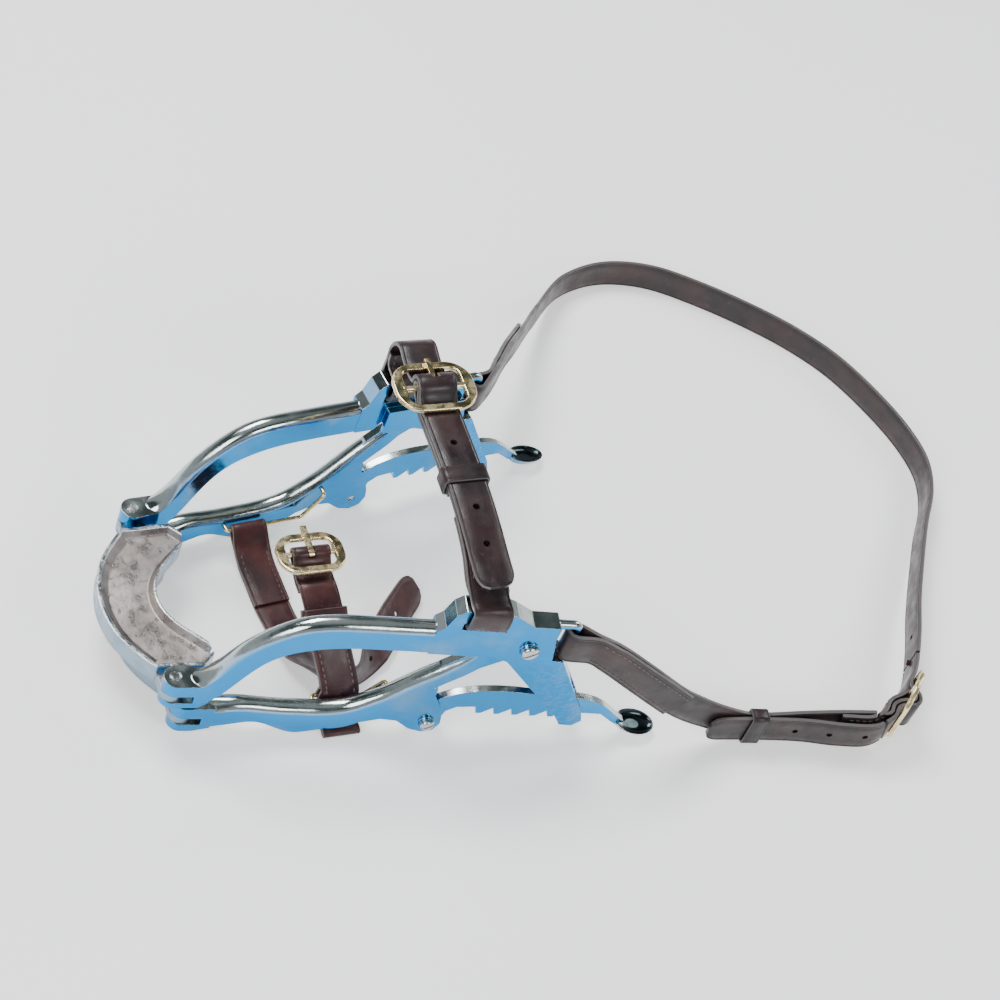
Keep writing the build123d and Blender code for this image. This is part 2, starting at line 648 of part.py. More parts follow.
def poll_buckle_strap():
    with BuildPart() as piece:
        path = [bail_station(-1)] + poll_path(POLL_NEAR)
        stations = fold(path, 3.2 + 0.6 + STRAP_THICK / 2, 4, 3.4)
        lap = shifted(poll_path(POLL_NEAR), -1.7)[:-3:-1]
        stations += at_buckle(POLL_BUCKLE, FIXED_PATH, POLL_DROP) + lap
        strap(stations, STRAP_THICK)
        slit(POLL_BUCKLE, (-4.8, -6), (6.2, 6.2))
    return piece


def nose_billet():
    with BuildPart() as billet:
        lap = nose_path([(95.9, 153), (95.6, 145.5)])
        stations = lap + nose_fold(1) + nose_path(NOSE_FAR)
        stations += at_buckle(NOSE_BUCKLE, BILLET_PATH) + nose_path(NOSE_TIP)
        strap(stations, STRAP_THICK)
        slit(NOSE_BUCKLE, (1.4, -1.5), (12.6, 9.4))
    return billet


def nose_buckle_strap():
    with BuildPart() as piece:
        main = nose_path(NOSE_NEAR)
        under = [(point, width) for point, width in shifted(main, -3.4)]
        stations = under[3::-1] + nose_fold(-1) + nose_path([(-101, 137.6), (-94.5, 138.4)]) + main
        stations += at_buckle(NOSE_BUCKLE, FIXED_PATH) + under[:3:-1]
        strap(stations, STRAP_THICK)
        slit(NOSE_BUCKLE, (-4.8, -6), (6.2, 6.2))
    return piece


CHIN_BILLET = [((84, 58, 11), (-1, 0, 0)), ((85, 46, 6.2), (-1, -0.03, 0)), ((87, 32, 3.9), (-1, -0.06, 0)),
               ((89, 15, 2.6), (-1, -0.1, 0)), ((93, -10, 3.9), (-1, -0.15, 0.1)),
               ((97, -32, 7.4), (-0.9, -0.2, 0.4)), ((103, -50, 12.6), (-0.5, -0.2, 0.85)),
               ((113, -60, 13.4), (0, -0.1, 1)), ((126, -55, 13.4), (0.1, 0.1, 1)),
               ((145, -36, 12.4), (-0.6, 0.5, 0.65)), ((165, -12, 11.5), (-0.6, 0.5, 0.65)),
               ((187, 12, 11.5), (-0.78, 0, 0.6))]
CHIN_LOOP = [(109, -83, 2.6), (109, -76.5, 2.7), (109, -73.2, 5.8), (109, -72.3, 14.2)]
CHIN_RISE = [(109, -71.4, 21.8), (108, -67.5, 30), (106, -60, 38.5), (104, -51, 47), (102, -42, 55),
             (101, -33, 62.3)]


def chin_billet():
    with BuildPart() as billet:
        along = side_point(1, 1, 0, 0) - side_point(1, 0, 0, 0)
        path = [(side_point(1, 84, WIRE_OUT, 21), along * -1)]
        for point, width in CHIN_BILLET:
            path.append((table_point(*point), Vector(*width).normalized()))
        strap(fold(path, WIRE_R + 0.3 + CHIN_THICK / 2, 4, -2.5), CHIN_THICK)
    return billet


def chin_buckle_strap():
    with BuildPart() as piece:
        along = side_point(-1, 1, 0, 0) - side_point(-1, 0, 0, 0)
        path = [(table_point(*point), ACROSS) for point in CHIN_LOOP[:2]]
        path += [(table_point(*point), along) for point in CHIN_LOOP[2:]]
        path += [(side_point(-1, 108.8, WIRE_OUT, 21), along), (table_point(*CHIN_RISE[0]), along)]
        path += [(table_point(*point), ACROSS) for point in CHIN_RISE[1:]]
        # both layers run together except where they part round the wire
        half = CHIN_THICK / 2 + 0.15
        upper = shifted(path, half)
        lower = shifted(path, -half)
        at_wire = len(CHIN_LOOP)
        parted = slice(at_wire - 1, at_wire + 2)
        upper[parted] = shifted(path, WIRE_R + 0.4 + CHIN_THICK / 2)[parted]
        lower[parted] = shifted(path, -WIRE_R - 0.4 - CHIN_THICK / 2)[parted]
        end = [(table_point(109, -91.4, 2.6), ACROSS)]
        bend = [(table_point(109, -91, 2.6 + half), ACROSS)]
        under_bend = [(table_point(109, -91, 2.6 - half), ACROSS)]
        stations = lower[::-1] + under_bend + end + bend + upper + at_buckle(CHIN_BUCKLE, FIXED_PATH)
        strap(stations, CHIN_THICK)
        slit(CHIN_BUCKLE, (-4.8, -6), (6.2, 6.2))
    return piece


def write(part, name):
    """Label a finished piece and write its STEP file."""
    part.label = name
    export_step(part, f"parts/{name}.step")


for name, side in SIDES.items():
    write(upper_arm(side).part, f"{name}_upper_arm")
    write(lower_arm(side).part, f"{name}_lower_arm")
    write(ratchet_lever(side).part, f"{name}_ratchet_lever")
    write(plate_pin(side, 28.6, 50.7, 0.0).part, f"{name}_upper_plate_pin")
    write(plate_pin(side, 3.8, 26.8, LOWER_PIN).part, f"{name}_lower_plate_pin")
    write(domed_screw(side, PIVOT, SCREW_R, HEAD_R, 17.6, HEAD_SEAT).part, f"{name}_pivot_screw")
    ratchet_screw = domed_screw(side, RATCHET, RATCHET_R, RATCHET_HEAD_R, 12.0, HEAD_SEAT)
    write(ratchet_screw.part, f"{name}_ratchet_screw")

write(bite_plate(-34, 3.5, UPPER_TAIL, 30.5, 45, LUG_UPPER, 0.0, True).part, "upper_bite_plate")
write(bite_plate(-20, -2.5, LOWER_TAIL, 6.5, 19, LUG_LOWER, LOWER_PIN, False).part, "lower_bite_plate")

for name, side in SIDES.items():
    write(chin_wire(side).part, f"{name}_chin_wire_loop")

for name, plane in {"nose": NOSE_BUCKLE, "poll": POLL_BUCKLE, "chin": CHIN_BUCKLE}.items():
    write(buckle_frame(plane, *BUCKLE_SIZES[name]).part, f"{name}_buckle_frame")
    write(buckle_prong(plane).part, f"{name}_buckle_prong")

write(poll_billet().part, "poll_billet_strap")
write(poll_buckle_strap().part, "poll_buckle_strap")
write(nose_billet().part, "nose_billet_strap")
write(nose_buckle_strap().part, "nose_buckle_strap")
write(chin_billet().part, "chin_billet_strap")
write(chin_buckle_strap().part, "chin_buckle_strap")
write(keeper(table_point(386, -138.2, 16.1), UP, Vector(1, -0.18, 0), 7.6).part, "poll_strap_keeper")
write(keeper(table_point(NOSE_X, -19, 163.2), ACROSS, Vector(0, 1, 0.03), 10.6).part, "nose_strap_keeper")
write(keeper(table_point(101.6, -38.2, 58.1), ACROSS, Vector(0, 0.775, 0.632), 5.6).part, "chin_strap_keeper")
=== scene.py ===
import math

import bmesh
import bpy
from mathutils import Matrix, Vector


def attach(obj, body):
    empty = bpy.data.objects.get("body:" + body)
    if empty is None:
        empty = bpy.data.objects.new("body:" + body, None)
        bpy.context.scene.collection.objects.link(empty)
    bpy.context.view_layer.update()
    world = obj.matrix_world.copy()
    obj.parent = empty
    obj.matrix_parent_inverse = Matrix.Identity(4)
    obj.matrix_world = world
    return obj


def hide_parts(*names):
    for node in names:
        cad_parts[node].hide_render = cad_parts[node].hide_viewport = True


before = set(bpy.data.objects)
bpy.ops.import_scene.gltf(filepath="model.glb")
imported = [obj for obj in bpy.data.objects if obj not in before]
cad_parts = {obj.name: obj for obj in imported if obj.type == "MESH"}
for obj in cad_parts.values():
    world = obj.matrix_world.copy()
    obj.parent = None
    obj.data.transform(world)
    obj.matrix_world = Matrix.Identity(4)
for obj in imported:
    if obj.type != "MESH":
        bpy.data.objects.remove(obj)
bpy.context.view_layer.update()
MM = 0.001

# ---------------------------------------------------------------------------
# The same layout as the CAD part: plate pins at x = 0, middle plane at y = 0, table at z = 0
# ---------------------------------------------------------------------------
ORIGIN_X, ORIGIN_Y = 294.3, 67.3
PIN_HALF, PIN_TOP, PIN_TOP_REST = 66.0, 50.3, 54.7
SPLAY, PITCH = math.radians(9.4), math.radians(4.0)
BAIL_REAR = 237.6
WIDTH, THICK, CHIN_THICK = 25.0, 3.0, 2.2
LAP_GAP = 3.4              # between the middles of two lapped layers
BAIL_BEND = 3.8 + THICK / 2
UP, ACROSS = Vector((0, 0, 1)), Vector((1, 0, 0))


def gag_direction(x, y, z):
    return Vector((x * math.cos(PITCH) + z * math.sin(PITCH), y, z * math.cos(PITCH) - x * math.sin(PITCH)))


def side_point(side, along, out, up):
    x = along * math.cos(SPLAY) - out * math.sin(SPLAY)
    y = side * (PIN_HALF + along * math.sin(SPLAY) + out * math.cos(SPLAY))
    return gag_direction(x, y, up - PIN_TOP) + Vector((-ORIGIN_X, -ORIGIN_Y, PIN_TOP_REST))


def arm_direction(side):
    return side_point(side, 1, 0, 0) - side_point(side, 0, 0, 0)


def table_point(x, y, z):
    return Vector((x - ORIGIN_X, y - ORIGIN_Y, z))


def tangent(path, index):
    before = path[max(index - 1, 0)][0]
    after = path[min(index + 1, len(path) - 1)][0]
    return (after - before).normalized()


def shifted(path, amount):
    moved = []
    for index, (point, width) in enumerate(path):
        moved.append((point + width.cross(tangent(path, index)).normalized() * amount, width))
    return moved


def fold(path, radius, lap, gap):
    """Stations of a strap folded round a bar at the path's first station and lapped back along itself."""
    point, width = path[0]
    along = tangent(path, 0)
    normal = width.cross(along).normalized() * (1 if gap > 0 else -1)
    bend = []
    for angle in (180, 135, 90, 45, 0):
        turn = math.radians(angle)
        bend.append((point + normal * radius * math.cos(turn) - along * radius * math.sin(turn), width))
    return shifted(path, -gap / 2)[lap:0:-1] + bend + shifted(path, gap / 2)[1:]


# A buckle: its centre bar's middle, the bar's direction, the way to the billet and the outward normal
def buckle_axes(origin, bar, out):
    bar, out = Vector(bar).normalized(), Vector(out).normalized()
    return origin, bar, out.cross(bar), out


NOSE_BUCKLE = buckle_axes(table_point(177, 50, 171), (1, 0, 0), (0, 0, 1))
POLL_BUCKLE = buckle_axes(table_point(498, -145, 27.6), (0, 0, -1), (0.72, -0.69, 0))
CHIN_BUCKLE = buckle_axes(table_point(99, 0, 76), (1, 0, 0), (0, 0.1, 0.995))
BILLET_PATH = [(24, -3.6), (13.5, -3.6), (7.6, -1.2), (7.4, 1.6), (5.3, 5.4), (0, 7.6), (-5.3, 5.4),
               (-7.4, 1.6), (-13.5, -3.6), (-22, -3.8)]
FIXED_PATH = [(-22, -7.6), (-14, -7.6), (-8, -4.6), (-4.0, 0), (-2.8, 2.8), (0, 4.0), (2.8, 2.8), (4.0, 0),
              (2.8, -2.8), (0, -4.4), (-4, -6.6), (-9, -9.8), (-14, -11.2), (-22, -11.2)]


def at_buckle(buckle, path, drop=0.0):
    origin, bar, along, out = buckle
    return [(origin + bar * drop + along * a + out * b, bar) for a, b in path]


def table_path(points, width):
    return [(table_point(*point), width) for point in points]


# ---------------------------------------------------------------------------
# Stations of the six straps
# ---------------------------------------------------------------------------
POLL_FAR = [(252, 114, 95), (266, 132, 86), (284, 157, 74), (310, 190, 55), (345, 235, 31), (388, 281, 14),
            (418, 293, 12.8), (443, 294, 12.8), (474, 286, 12.8), (511, 263, 12.8), (547, 234, 12.8),
            (572, 209, 12.8), (594, 179, 12.8), (612, 138, 12.8), (623, 97, 12.8), (624, 65, 12.8),
            (614, 36, 13), (592, 3, 14), (568, -35, 17), (549, -66, 20.5), (532, -97, 23.5)]
POLL_TIP = [(466, -162, 22.5), (446, -157, 19.5), (420, -147.6, 17), (393, -141.4, 16), (379, -138.9, 16),
            (352, -135.8, 17.5)]
POLL_NEAR = [(254, -111, 95), (265, -115.5, 90), (290, -123.5, 72), (320, -130.5, 48), (350, -133, 28),
             (379, -136.8, 16.4), (393, -139.2, 16), (420, -143.4, 18), (446, -148.5, 20.5),
             (465, -153.8, 23.5)]
POLL_DROP = 2.0
NOSE_FOLD = [(-9.0, 142.2), (-8.8, 130.0), (-5.5, 126.3), (5.5, 126.3), (8.8, 130.0), (8.8, 142.2)]
NOSE_NEAR = [(-82, 144.0), (-70, 152), (-58, 157), (-44, 160.5), (-28, 162.6), (-10, 163.6), (8, 163.7)]
NOSE_FAR = [(99.6, 146), (99, 156), (94.5, 165), (87, 169.5), (80, 168.6)]
NOSE_TIP = [(10, 167.2), (-10, 167.1), (-28, 166.3), (-45, 164.5), (-62, 161.5), (-80, 157.5), (-97, 155)]
NOSE_X = 177.0
CHIN_BILLET = [((84, 58, 11), (-1, 0, 0)), ((85, 46, 6.2), (-1, -0.03, 0)), ((87, 32, 3.9), (-1, -0.06, 0)),
               ((89, 15, 2.6), (-1, -0.1, 0)), ((93, -10, 3.9), (-1, -0.15, 0.1)),
               ((97, -32, 7.4), (-0.9, -0.2, 0.4)), ((103, -50, 12.6), (-0.5, -0.2, 0.85)),
               ((113, -60, 13.4), (0, -0.1, 1)), ((126, -55, 13.4), (0.1, 0.1, 1)),
               ((145, -36, 12.4), (-0.6, 0.5, 0.65)), ((165, -12, 11.5), (-0.6, 0.5, 0.65)),
               ((187, 12, 11.5), (-0.78, 0, 0.6))]
CHIN_LOOP = [(109, -83, 2.6), (109, -76.5, 2.7), (109, -73.2, 5.8), (109, -72.3, 14.2)]
CHIN_RISE = [(109, -71.4, 21.8), (108, -67.5, 30), (106, -60, 38.5), (104, -51, 47), (102, -42, 55),
             (101, -33, 62.3)]
WIRE_R, WIRE_OUT = 1.4, -11.8


def bail_station(side):
    return (side_point(side, BAIL_REAR, 0, 110.3), gag_direction(0, 0, 1))


def nose_path(points):
    return [(table_point(NOSE_X, *point), ACROSS) for point in points]


def nose_fold(side):
    return [(side_point(side, 175, out, up), arm_direction(side)) for out, up in NOSE_FOLD]


def poll_billet():
    stations = fold([bail_station(1)] + table_path(POLL_FAR, UP), BAIL_BEND, 4, -LAP_GAP)
    return stations + at_buckle(POLL_BUCKLE, BILLET_PATH, POLL_DROP) + table_path(POLL_TIP, UP)


def poll_buckle_strap():
    near = table_path(POLL_NEAR, UP)
    stations = fold([bail_station(-1)] + near, BAIL_BEND, 4, LAP_GAP)
    return stations + at_buckle(POLL_BUCKLE, FIXED_PATH, POLL_DROP) + shifted(near, -1.7)[:-3:-1]


def nose_billet():
    stations = nose_path([(95.9, 153), (95.6, 145.5)]) + nose_fold(1) + nose_path(NOSE_FAR)
    return stations + at_buckle(NOSE_BUCKLE, BILLET_PATH) + nose_path(NOSE_TIP)


def nose_buckle_strap():
    main = nose_path(NOSE_NEAR)
    under = shifted(main, -LAP_GAP)
    stations = under[3::-1] + nose_fold(-1) + nose_path([(-101, 137.6), (-94.5, 138.4)]) + main
    return stations + at_buckle(NOSE_BUCKLE, FIXED_PATH) + under[:3:-1]


def chin_billet():
    path = [(side_point(1, 84, WIRE_OUT, 21), -arm_direction(1))]
    path += [(table_point(*point), Vector(width).normalized()) for point, width in CHIN_BILLET]
    return fold(path, WIRE_R + 0.3 + CHIN_THICK / 2, 4, -2.5)


def chin_buckle_strap():
    along = arm_direction(-1)
    path = table_path(CHIN_LOOP[:2], ACROSS) + table_path(CHIN_LOOP[2:], along)
    path += [(side_point(-1, 108.8, WIRE_OUT, 21), along)] + table_path(CHIN_RISE[:1], along)
    path += table_path(CHIN_RISE[1:], ACROSS)
    half, apart = CHIN_THICK / 2 + 0.15, WIRE_R + 0.4 + CHIN_THICK / 2
    upper, lower = shifted(path, half), shifted(path, -half)
    for index in (3, 4, 5):
        upper[index], lower[index] = shifted(path, apart)[index], shifted(path, -apart)[index]
    bend = table_path([(109, -91, 2.6 - half), (109, -91.4, 2.6), (109, -91, 2.6 + half)], ACROSS)
    return lower[::-1] + bend + upper + at_buckle(CHIN_BUCKLE, FIXED_PATH)


# ---------------------------------------------------------------------------
# Materials
# ---------------------------------------------------------------------------
class Shader:
    """A principled material with short helpers for its procedural inputs."""

    def __init__(self, name, metallic, roughness, color):
        self.mat = bpy.data.materials.new(name)
        self.mat.use_nodes = True
        self.nodes, self.links = self.mat.node_tree.nodes, self.mat.node_tree.links
        self.bsdf = self.nodes["Principled BSDF"]
        self.bsdf.inputs["Metallic"].default_value = metallic
        self.bsdf.inputs["Roughness"].default_value = roughness
        self.bsdf.inputs["Base Color"].default_value = (*color, 1)
        self.coords = self.nodes.new("ShaderNodeTexCoord")

    def put(self, socket, value):
        if isinstance(value, (int, float)):
            socket.default_value = value
        elif isinstance(value, tuple):
            socket.default_value = (*value, 1) if len(value) == 3 and socket.type == "RGBA" else value
        else:
            self.links.new(value, socket)

    def noise(self, scale, detail=4.0, rough=0.55):
        node = self.nodes.new("ShaderNodeTexNoise")
        node.inputs["Scale"].default_value = scale
        node.inputs["Detail"].default_value = detail
        node.inputs["Roughness"].default_value = rough
        self.links.new(self.coords.outputs["Object"], node.inputs["Vector"])
        return node.outputs["Fac"]

    def split(self, vector):
        node = self.nodes.new("ShaderNodeSeparateXYZ")
        self.links.new(vector, node.inputs[0])
        return node.outputs

    def span(self, value, low, high, to_low=0.0, to_high=1.0):
        node = self.nodes.new("ShaderNodeMapRange")
        node.interpolation_type = "SMOOTHSTEP"
        for name, number in (("From Min", low), ("From Max", high), ("To Min", to_low), ("To Max", to_high)):
            node.inputs[name].default_value = number
        self.links.new(value, node.inputs["Value"])
        return node.outputs[0]

    def math(self, operation, first, second=0.0):
        node = self.nodes.new("ShaderNodeMath")
        node.operation = operation
        self.put(node.inputs[0], first)
        self.put(node.inputs[1], second)
        return node.outputs[0]

    def mix(self, factor, first, second):
        node = self.nodes.new("ShaderNodeMix")
        node.data_type = "RGBA"
        self.put(node.inputs[0], factor)
        self.put(node.inputs[6], first)
        self.put(node.inputs[7], second)
        return node.outputs[2]

    def bumps(self, layers, edge=0.0):
        """Stack bump maps given as (height, strength, distance in metres) over a rounded edge."""
        normal = None
        if edge > 0:
            bevel = self.nodes.new("ShaderNodeBevel")
            bevel.samples = 4
            bevel.inputs["Radius"].default_value = edge
            normal = bevel.outputs[0]
        for height, strength, distance in layers:
            node = self.nodes.new("ShaderNodeBump")
            node.inputs["Strength"].default_value = strength
            node.inputs["Distance"].default_value = distance
            self.put(node.inputs["Height"], height)
            if normal is not None:
                self.links.new(normal, node.inputs["Normal"])
            normal = node.outputs[0]
        self.links.new(normal, self.bsdf.inputs["Normal"])


# Where the hammered dents, the painted shade of the thumb dishes and the painted highlight of the plate rims
# sit, in metres of the part's frame
LEG_FRONT, LEG_TOP = (-0.086, -0.070), (0.082, 0.092)
THUMB_REST = (0.0, 0.004)
PLATE_RIM = (0.0486, 0.0492)


def plated(name, painted_reflection, crown, hammered=False, rough=0.13, painted_dish_shade=False):
    """Old bright plating: a painted blue reflection on steep faces blended by slope into the crown colour on
    level faces, with dull patches and dark specks, and painted shade in the levers' thumb dishes when asked.
    """
    s = Shader(name, 1.0, rough, crown)
    # Painted blue reflection: steep faces take the first colour, a painted reflection, and level faces the
    # crown colour, blended by slope.
    reflection_slope = s.span(s.math("ABSOLUTE", s.split(s.coords.outputs["Normal"])[2]), 0.18, 0.62)
    patches = s.noise(22, 5)
    speck = s.span(s.noise(420, 3, 0.7), 0.66, 0.74)
    color = s.mix(reflection_slope, painted_reflection, crown)
    color = s.mix(s.span(patches, 0.5, 0.75, 0, 0.35), color, tuple(0.72 * c for c in crown))
    color = s.mix(s.math("MULTIPLY", speck, 0.45), color, (0.10, 0.08, 0.07))
    # Painted shade: up-facing surfaces at the levers' thumb rests are darkened to near black, as shade in the
    # dishes.
    if painted_dish_shade:
        facing = s.span(s.split(s.coords.outputs["Normal"])[2], 0.15, 0.5)
        rest = s.span(s.split(s.coords.outputs["Object"])[0], *THUMB_REST)
        color = s.mix(s.math("MULTIPLY", facing, rest), color, (0.035, 0.050, 0.055))
    s.put(s.bsdf.inputs["Base Color"], color)
    s.put(s.bsdf.inputs["Roughness"], s.span(s.noise(70, 5), 0.3, 0.75, rough * 0.65, rough * 1.9))
    layers = [(s.noise(38, 2), 0.35, 0.0016), (s.noise(260, 4, 0.65), 0.14, 0.0003)]
    if hammered:
        x, _, z = s.split(s.coords.outputs["Object"])
        leg = s.math("MULTIPLY", s.span(x, *LEG_FRONT), s.span(z, *LEG_TOP, 1, 0))
        dents = s.math("MULTIPLY", s.noise(210, 2, 0.5), leg)
        layers.append((dents, 0.8, 0.0020))
    s.bumps(layers, 0.0007)
    return s.mat


def cast_plate():
    """Warm grey plated casting, rough in the trough, with a painted blue reflection on its steep walls and a
    painted highlight on its thin rims, which are also smoother.
    """
    s = Shader("cast_bite_plate", 1.0, 0.33, (0.36, 0.32, 0.30))
    color = s.mix(s.span(s.noise(34, 5), 0.35, 0.7), (0.30, 0.26, 0.245), (0.50, 0.46, 0.44))
    pits = s.span(s.noise(640, 3, 0.7), 0.55, 0.75)
    color = s.mix(s.math("MULTIPLY", pits, 0.16), color, (0.12, 0.10, 0.09))
    x, _, z = s.split(s.coords.outputs["Object"])
    height = s.math("ADD", z, s.math("MULTIPLY", s.math("ADD", x, ORIGIN_X * MM), math.sin(PITCH)))
    rim = s.span(height, *PLATE_RIM)
    # Painted blue reflection on the steep outer walls of the plates.
    wall_reflection = s.span(s.math("ABSOLUTE", s.split(s.coords.outputs["Normal"])[2]), 0.2, 0.45, 1, 0)
    color = s.mix(s.math("MULTIPLY", wall_reflection, 0.6), color, (0.14, 0.30, 0.46))
    # Painted highlight: the thin band at the rims' height is painted near-white; the rims are also made
    # smoother in the roughness below.
    color = s.mix(rim, color, (0.80, 0.82, 0.84))
    s.put(s.bsdf.inputs["Base Color"], color)
    dull = s.span(s.noise(140, 4), 0.3, 0.7, 0.24, 0.44)
    s.put(s.bsdf.inputs["Roughness"], s.math("SUBTRACT", dull, s.math("MULTIPLY", rim, 0.14)))
    s.bumps([(s.noise(560, 3, 0.6), 0.28, 0.0004)], 0.0012)
    return s.mat


def brass(name, tint=(0.87, 0.72, 0.42)):
    s = Shader(name, 1.0, 0.18, tint)
    color = s.mix(s.span(s.noise(60, 4), 0.42, 0.72), tint, (0.62, 0.45, 0.22))
    color = s.mix(s.math("MULTIPLY", s.span(s.noise(380, 3), 0.62, 0.7), 0.6), color, (0.22, 0.14, 0.07))
    s.put(s.bsdf.inputs["Base Color"], color)
    s.put(s.bsdf.inputs["Roughness"], s.span(s.noise(160, 4), 0.3, 0.7, 0.12, 0.34))
    s.bumps([(s.noise(90, 3), 0.3, 0.0006), (s.noise(700, 3), 0.15, 0.0002)], 0.0006)
    return s.mat


def leather(name, dark, warm, edge=(0.27, 0.23, 0.21)):
    """Oiled harness leather: fine grain, scuffs, a creased line inside each edge and pale cut edges."""
    s = Shader(name, 0.0, 0.42, dark)
    strap = s.nodes.new("ShaderNodeAttribute")
    strap.attribute_name = "strap"
    _, across, depth = s.split(strap.outputs["Vector"])
    color = s.mix(s.span(s.noise(34, 5), 0.35, 0.7), dark, warm)
    scuff = s.span(s.noise(130, 6, 0.7), 0.58, 0.72)
    color = s.mix(s.math("MULTIPLY", scuff, 0.35), color, tuple(min(1, 2.6 * c + 0.02) for c in warm))
    cut = s.math("MULTIPLY", s.span(s.math("ABSOLUTE", across), 0.955, 0.985),
                 s.span(s.math("ABSOLUTE", depth), 0.78, 0.95, 1, 0))
    color = s.mix(s.math("MULTIPLY", cut, 0.8), color, edge)
    s.put(s.bsdf.inputs["Base Color"], color)
    s.put(s.bsdf.inputs["Roughness"], s.span(s.noise(90, 4), 0.3, 0.7, 0.28, 0.52))
    s.bsdf.inputs["Specular IOR Level"].default_value = 0.35
    s.bsdf.inputs["Coat Weight"].default_value = 0.12
    s.bsdf.inputs["Coat Roughness"].default_value = 0.28
    grain = s.nodes.new("ShaderNodeTexVoronoi")
    grain.inputs["Scale"].default_value = 1500
    s.links.new(s.coords.outputs["Object"], grain.inputs["Vector"])
    s.bumps([(s.noise(60, 3), 0.35, 0.0009), (grain.outputs["Distance"], 0.3, 0.00022),
             (s.noise(900, 3), 0.2, 0.00015)])
    return s.mat


def thread():
    s = Shader("waxed_thread", 0.0, 0.6, (0.33, 0.26, 0.19))
    s.put(s.bsdf.inputs["Base Color"], s.mix(s.noise(900, 3), (0.20, 0.15, 0.12), (0.08, 0.055, 0.045)))
    s.bumps([(s.noise(2600, 2), 0.5, 0.0002)])
    return s.mat


# The first colour of each finish is a painted reflection on the steep faces: blue on the arms and levers,
# bluish grey on the pins.
ARMS = plated("plated_upper_arms", (0.012, 0.24, 0.56), (0.50, 0.55, 0.54), hammered=True)
LOWER = plated("plated_lower_arms", (0.012, 0.235, 0.55), (0.46, 0.52, 0.51))
LEVERS = plated("plated_levers", (0.016, 0.25, 0.57), (0.50, 0.55, 0.54), rough=0.16, painted_dish_shade=True)
PINS = plated("plated_pins", (0.48, 0.52, 0.56), (0.60, 0.60, 0.58), rough=0.16)
PLATES = cast_plate()
WIRE_BRASS = brass("brass_wire", (0.82, 0.63, 0.33))
BUCKLE_BRASS = brass("brass_buckles")
HARNESS = leather("harness_leather", (0.012, 0.008, 0.010), (0.034, 0.015, 0.016), (0.13, 0.12, 0.12))
CHIN_LEATHER = leather("chin_leather", (0.032, 0.011, 0.012), (0.085, 0.026, 0.025), (0.15, 0.12, 0.115))
THREAD = thread()

FINISHES = {"upper_arm": ARMS, "lower_arm": LOWER, "ratchet_lever": LEVERS, "plate_pin": PINS,
            "pivot_screw": PINS, "ratchet_screw": PINS, "bite_plate": PLATES, "wire_loop": WIRE_BRASS,
            "buckle_frame": BUCKLE_BRASS, "buckle_prong": BUCKLE_BRASS}
for name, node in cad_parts.items():
    for ending, finish in FINISHES.items():
        if name.endswith(ending):
            node.data.materials.clear()
            node.data.materials.append(finish)


# ---------------------------------------------------------------------------
# Strap meshes, in millimetres
# ---------------------------------------------------------------------------
SAMPLE_STEP = 2.0
TONGUE, TONGUE_END = 11, 0.42        # length of a strap's rounded tip, and how narrow it ends
PUNCH_REACH = 4
STITCH_PITCH, STITCH_LENGTH, STITCH_R, STITCH_INSET = 4.4, 3.1, 0.42, 3.6
SHARP_ANGLE = math.radians(50)
BILLET_SLIT = ((1.4, -1.5), (12.6, 9.4))      # along and out of the buckle's bar, for its prong
FIXED_SLIT = ((-4.8, -6), (6.2, 6.2))
KEEPER_ROOM, KEEPER_CORNER = 0.8, 1.4


def smooth_path(stations, step):
    """Centripetal curve through the stations, sampled evenly, with each station's distance along it."""
    points = [point for point, _ in stations]
    samples, marks, travelled = [], [], 0.0
    for index in range(len(points) - 1):
        b, c = points[index], points[index + 1]
        a = points[index - 1] if index > 0 else b * 2 - c
        d = points[index + 2] if index + 2 < len(points) else c * 2 - b
        ab, bc, cd = (max((q - p).length, 1e-6) ** 0.5 for p, q in ((a, b), (b, c), (c, d)))
        m1 = ((b - a) / ab - (c - a) / (ab + bc) + (c - b) / bc) * bc
        m2 = ((c - b) / bc - (d - b) / (bc + cd) + (d - c) / cd) * bc
        count = max(2, round((c - b).length / step))
        marks.append(travelled)
        for number in range(count):
            t = number / count
            t2, t3 = t * t, t * t * t
            spot = b * (2 * t3 - 3 * t2 + 1) + m1 * (t3 - 2 * t2 + t) + c * (3 * t2 - 2 * t3) + m2 * (t3 - t2)
            width = stations[index][1].lerp(stations[index + 1][1], t)
            if samples:
                travelled += (spot - samples[-1][0]).length
            samples.append((spot, width, travelled))
            if number == 0:
                marks[-1] = travelled
    travelled += (points[-1] - samples[-1][0]).length
    samples.append((points[-1], stations[-1][1], travelled))
    marks.append(travelled)
    return samples, marks


def strap_profile(half, deep):
    """Cross-section of a strap: rounded edges and a creased line inside each edge, on both faces."""
    face = [(-half + 0.6, deep), (-half + 1.5, deep), (-half + 1.9, deep - 0.22), (-half + 2.3, deep),
            (-half * 0.4, deep), (half * 0.4, deep), (half - 2.3, deep), (half - 1.9, deep - 0.22),
            (half - 1.5, deep), (half - 0.6, deep)]
    edge = [(half - 0.15, deep - 0.3), (half, deep - 0.75), (half, 0.75 - deep), (half - 0.15, 0.3 - deep)]
    return face + edge + [(u, -v) for u, v in reversed(face)] + [(-u, v) for u, v in reversed(edge)]


def frames_along(samples):
    frames = []
    for index, (spot, width, travelled) in enumerate(samples):
        before = samples[max(index - 1, 0)][0]
        after = samples[min(index + 1, len(samples) - 1)][0]
        run = (after - before).normalized()
        across = (width - run * width.dot(run)).normalized()
        frames.append((spot, across, across.cross(run).normalized(), run, travelled))
    return frames


